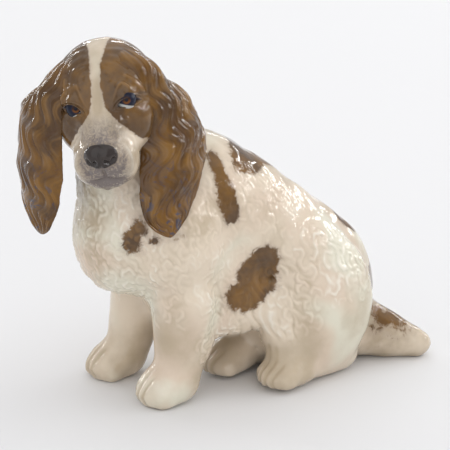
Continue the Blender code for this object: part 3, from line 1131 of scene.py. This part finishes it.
glaze = {
    "cream": rgb(0.70, 0.60, 0.475),
    "blush": rgb(0.66, 0.54, 0.425),
    "celadon": rgb(0.70, 0.69, 0.57),
    "pool": rgb(0.44, 0.355, 0.245),
    "ridge": rgb(0.82, 0.77, 0.67),
    "coat": 0.12,
    "coatRoughness": 0.03,
    "wave": 0.4,
    "waveDepth": 0.0006,
}


def finishShader(bench, shader, colour, height, gloss, index=1.4):
    bench.link(colour, shader.inputs["Base Color"])
    bench.link(gloss, shader.inputs["Roughness"])
    shader.inputs["IOR"].default_value = index
    shader.inputs["Coat Weight"].default_value = glaze["coat"]
    shader.inputs["Coat Roughness"].default_value = glaze["coatRoughness"]
    bump = bench.add("Bump")
    bump.inputs["Strength"].default_value = glaze["wave"]
    bump.inputs["Distance"].default_value = glaze["waveDepth"]
    bench.link(height, bump.inputs["Height"])
    bench.link(bump.outputs["Normal"], shader.inputs["Normal"])


def useGroup(bench, group, **values):
    node = bench.add("Group", node_tree=group)
    for label, value in values.items():
        bench.link(value, node.inputs[label])
    return node.outputs


def newGlaze(name):
    material = bpy.data.materials.new(name)
    material.use_nodes = True
    bench = Bench(material.node_tree)
    shader = material.node_tree.nodes["Principled BSDF"]
    place = bench.add("TexCoord").outputs["Object"]
    return material, bench, shader, place


def makeCreamGlaze():
    material, bench, shader, place = newGlaze("creamGlaze")
    relief = bench.layer("relief")
    warm = bench.step(bench.noise(place, 24, 2.5, 0.5, 0.6), 0.4, 0.66)
    pale = bench.step(bench.noise(place, 19, 2.5, 0.5, 0.8), 0.5, 0.68)
    body = bench.mix(warm, glaze["cream"], glaze["blush"])
    body = bench.mix(bench.times(pale, 0.8), body, glaze["celadon"])
    body = useGroup(bench, pooling, Colour=body, Pool=glaze["pool"], Ridge=glaze["ridge"],
                    Relief=relief, Strength=0.8, Place=place)
    colour = body["Colour"]

    brush = bench.noise(place, 420, 3, 0.6, 2.0)
    patchy = bench.step(bench.noise(place, 60, 3), 0.2, 0.7)
    # brown-grey wash over the head and tail, and painted shade on the muzzle front and low down on
    # the legs
    washAndShade = bench.times(bench.layer("washAndShade"), patchy)
    colour = bench.mix(washAndShade, colour, rgb(0.30, 0.225, 0.135))
    streaky = bench.plus(bench.times(bench.step(brush, 0.3, 0.7), 0.6), 0.42)
    # grey paint round the mouth and muzzle, and painted shade on the throat
    greyAndShade = bench.times(bench.layer("greyAndShade"), streaky, clamp=True)
    colour = bench.mix(greyAndShade, colour, rgb(0.165, 0.137, 0.127))
    ragged = bench.plus(bench.noise(place, 330, 4, 0.62, 0.7), bench.noise(place, 95, 2))
    ragged = bench.times(bench.math("SUBTRACT", ragged, 1.0), 5.5)
    field = bench.plus(bench.layer("brown"), ragged)
    chestnutInk = useGroup(bench, chestnut, Place=place, Relief=relief)["Colour"]
    halo = bench.times(bench.step(field, -2.4, 0.4), 0.35)
    colour = bench.mix(halo, colour, rgb(0.36, 0.28, 0.22))
    cover = bench.times(bench.step(field, -0.5, 1.1), 0.96)
    colour = bench.mix(cover, colour, chestnutInk)
    snoutTones = rgb(0.010, 0.007, 0.007), rgb(0.045, 0.033, 0.028)
    snoutTone = bench.mix(bench.noise(place, 300, 3), *snoutTones)
    colour = bench.mix(bench.layer("snout"), colour, snoutTone)
    ink = bench.times(bench.layer("ink"), 0.95, clamp=True)
    colour = bench.mix(ink, colour, rgb(0.012, 0.013, 0.026))
    finishShader(bench, shader, colour, body["Height"], body["Gloss"])
    return material


def makeChestnutGlaze():
    material, bench, shader, place = newGlaze("chestnutGlaze")
    relief = bench.layer("relief")
    tone = useGroup(bench, chestnut, Place=place, Relief=relief)["Colour"]
    low = bench.step(bench.layer("lockDown"), 0.35, 0.95)
    strokes = bench.step(bench.noise(place, 130, 3, 0.6, 2.4), 0.58, 0.64)
    strokes = bench.times(strokes, bench.times(low, 0.8))
    tone = bench.mix(strokes, tone, rgb(0.04, 0.045, 0.075))
    # darker in the grooves, and painted shade along the inner edge
    groovesAndShade = bench.math("MAXIMUM", bench.step(relief, -0.15, -0.75), bench.layer("shade"))
    tone = bench.mix(bench.times(groovesAndShade, 0.55), tone, rgb(0.045, 0.02, 0.008))
    body = useGroup(bench, pooling, Colour=tone, Pool=rgb(0.09, 0.04, 0.015),
                    Ridge=rgb(0.22, 0.12, 0.035), Relief=relief, Strength=0.45, Place=place)
    finishShader(bench, shader, body["Colour"], body["Height"], body["Gloss"])
    return material


def makeEyeGlaze(name, side):
    material, bench, shader, place = newGlaze(name + "EyeGlaze")
    split = bench.add("SeparateXYZ")
    bench.link(bench.layer("gaze", "Vector"), split.inputs[0])
    x, z = split.outputs[0], split.outputs[2]
    square = bench.plus(bench.times(x, x), bench.times(z, z))
    radius = bench.math("SQRT", square)
    radius = bench.plus(radius, bench.times(bench.noise(place, 900, 2), 0.05))
    # painted highlight: a white glint low on the eye
    glint = bench.step(bench.plus(bench.times(x, side), z), -0.43, -0.58)  # by the lower lid
    white = bench.mix(glint, rgb(0.012, 0.014, 0.028), rgb(0.50, 0.50, 0.47))
    iris = bench.mix(bench.step(z, 0.12, -0.25), rgb(0.03, 0.012, 0.008), rgb(0.15, 0.055, 0.014))
    colour = bench.mix(bench.step(radius, 0.46, 0.38), white, iris)
    rim = bench.times(bench.step(radius, 0.34, 0.40), bench.step(radius, 0.50, 0.43))
    colour = bench.mix(bench.times(rim, 0.8), colour, rgb(0.025, 0.02, 0.035))
    colour = bench.mix(bench.step(radius, 0.21, 0.15), colour, rgb(0.01, 0.01, 0.018))
    # the top of the eye painted near black: the lash line and painted shadow under the upper lid
    lashAndLidShadow = bench.step(z, 0.28, 0.46)
    colour = bench.mix(bench.times(lashAndLidShadow, 0.9), colour, rgb(0.008, 0.009, 0.02))
    gloss = bench.times(radius, 0.1)
    finishShader(bench, shader, colour, bench.noise(place, 300, 1), gloss, 1.25)
    shader.inputs["Coat Weight"].default_value = 0
    return material


pooling = makePooling()
chestnut = makeChestnut()
creamGlaze = makeCreamGlaze()
chestnutGlaze = makeChestnutGlaze()
eyeGlazes = makeEyeGlaze("left", 0.5), makeEyeGlaze("right", -0.5)


def fire(piece, material, slot, *nodes):
    pick(piece)
    bpy.ops.object.transform_apply(location=True, rotation=True, scale=True)
    piece.data.materials.clear()
    piece.data.materials.append(material)
    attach(piece, "root")
    if nodes:
        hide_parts(*nodes)


for node, piece in dogPieces.items():
    fire(piece, creamGlaze, "white_glaze", node)
for name, piece in earPieces.items():
    pick(piece)
    bpy.ops.object.shade_smooth()
    fire(piece, chestnutGlaze, "brown_glaze", name + "_ear")
for piece, material in zip(eyePieces, eyeGlazes):
    pick(piece)
    bpy.ops.object.shade_smooth()
    fire(piece, material, "white_glaze")
print("pieces are glazed")
